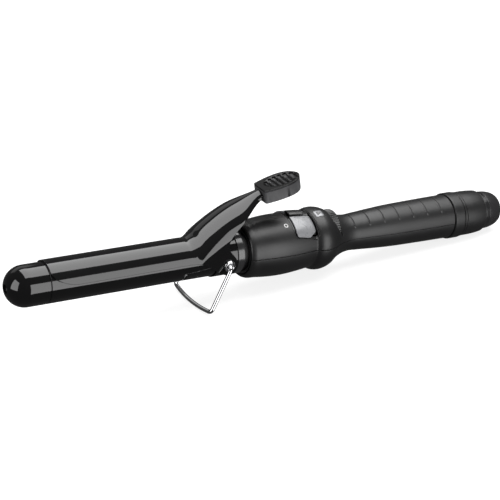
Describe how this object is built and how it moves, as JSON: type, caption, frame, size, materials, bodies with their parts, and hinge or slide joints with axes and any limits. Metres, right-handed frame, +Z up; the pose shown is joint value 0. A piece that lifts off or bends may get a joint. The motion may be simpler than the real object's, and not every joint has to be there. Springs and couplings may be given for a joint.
{
  "type": "curling iron",
  "caption": "Curling iron with a round heated barrel, spring clamp and thumb lever, folding wire stand, rocker switch, heat dial and swivelling cord outlet.",
  "frame": {"origin": "centre of the footprint, on the surface that the stand's foot and the tail rest on", "axes": "+X back along the iron from tip to cord outlet, +Y across it, away from the side with the off mark, +Z up; the barrel's axis is pitched tip-up by about 4.5 degrees about Y"},
  "size_m": [0.3504, 0.0464, 0.0706],
  "materials": {
    "barrel": "gloss black ceramic coating on a metal tube",
    "clamp": "gloss black ceramic coating on pressed sheet",
    "body_plastic": "soft-touch matte black",
    "soft_plastic": "fine-grained satin black",
    "dial_plastic": "black with pale ticks",
    "heat_plastic": "heat-resistant black",
    "trim_plastic": "gloss black trim",
    "silver_plastic": "silver-painted gloss",
    "chrome": "bright chrome",
    "collar": "dark chrome",
    "spring_metal": "bright brass",
    "screws": "zinc-plated steel",
    "aluminium": "extruded, plain",
    "ceramic": "unglazed ceramic",
    "board": "green lacquered board",
    "component": "moulded component",
    "sleeving": "silicone-sleeved wire"
  },
  "bodies": {
    "handle": {"barrel_tube": "barrel", "tip_cap": "barrel", "tip_screw": "screws", "front_spacer": "ceramic", "heater_bar": "ceramic", "electrode_upper": "aluminium", "electrode_lower": "aluminium", "heater_sleeve": "sleeving", "heat_spreader_upper": "aluminium", "heat_spreader_lower": "aluminium", "thermal_fuse": "ceramic", "thermistor": "ceramic", "barrel_collar": "collar", "pivot_band": "barrel", "insulator_bush": "heat_plastic", "clamp_spring": "spring_metal", "rivet_near": "chrome", "rivet_far": "chrome", "body_shell_upper": "body_plastic", "body_shell_lower": "body_plastic", "shell_screw_1": "screws", "shell_screw_2": "screws", "shell_screw_3": "screws", "shell_screw_4": "screws", "index_mark": "silver_plastic", "switch_frame": "heat_plastic", "switch_module": "heat_plastic", "circuit_board": "board", "film_capacitor": "component", "triac": "component", "dial_track_board": "board", "dial_carrier": "heat_plastic", "heater_lead_live": "sleeving", "heater_lead_neutral": "sleeving", "sensor_lead": "sleeving", "supply_lead_live": "sleeving", "supply_lead_neutral": "sleeving", "tail_band": "body_plastic", "tail_trim_ring": "trim_plastic", "tail_shell": "body_plastic", "contact_block": "heat_plastic", "contact_brush_live": "spring_metal", "contact_brush_neutral": "spring_metal"},
    "clamp": {"clamp": "clamp", "thumb_rest": "soft_plastic"},
    "stand": {"wire_stand": "chrome"},
    "dial": {"dial_wheel": "dial_plastic", "dial_wiper": "spring_metal"},
    "rocker": {"switch_rocker": "soft_plastic", "rocker_plate_near": "silver_plastic", "rocker_plate_far": "silver_plastic"},
    "swivel": {"swivel_outlet": "body_plastic", "slip_ring_inner": "spring_metal", "slip_ring_outer": "spring_metal"}
  },
  "joints": [
    {"name": "clamp_hinge", "type": "hinge", "parent": "handle", "child": "clamp", "pos_m": [-0.03438, 0, 0.02678], "axis": [0, 1, 0], "range_deg": [0, 15], "stiffness_Nm_per_rad": 0.4, "springref_deg": -17.19, "deforming": ["clamp_spring"]},
    {"name": "stand_hinge", "type": "hinge", "parent": "handle", "child": "stand", "pos_m": [-0.03438, 0, 0.02678], "axis": [0, -1, 0], "range_deg": [0, 85]},
    {"name": "dial_spin", "type": "hinge", "parent": "handle", "child": "dial", "pos_m": [0.04462, 0, 0.02679], "axis": [0.9969, 0, -0.0784], "range_deg": [0, 270]},
    {"name": "switch_rock", "type": "hinge", "parent": "handle", "child": "rocker", "pos_m": [0.01828, 0, 0.03568], "axis": [-0.9969, 0, 0.0784], "range_deg": [0, 6]},
    {"name": "cord_swivel", "type": "hinge", "parent": "handle", "child": "swivel", "pos_m": [0.16666, 0, 0.01298], "axis": [0.9969, 0, -0.0784], "continuous": true}
  ]
}
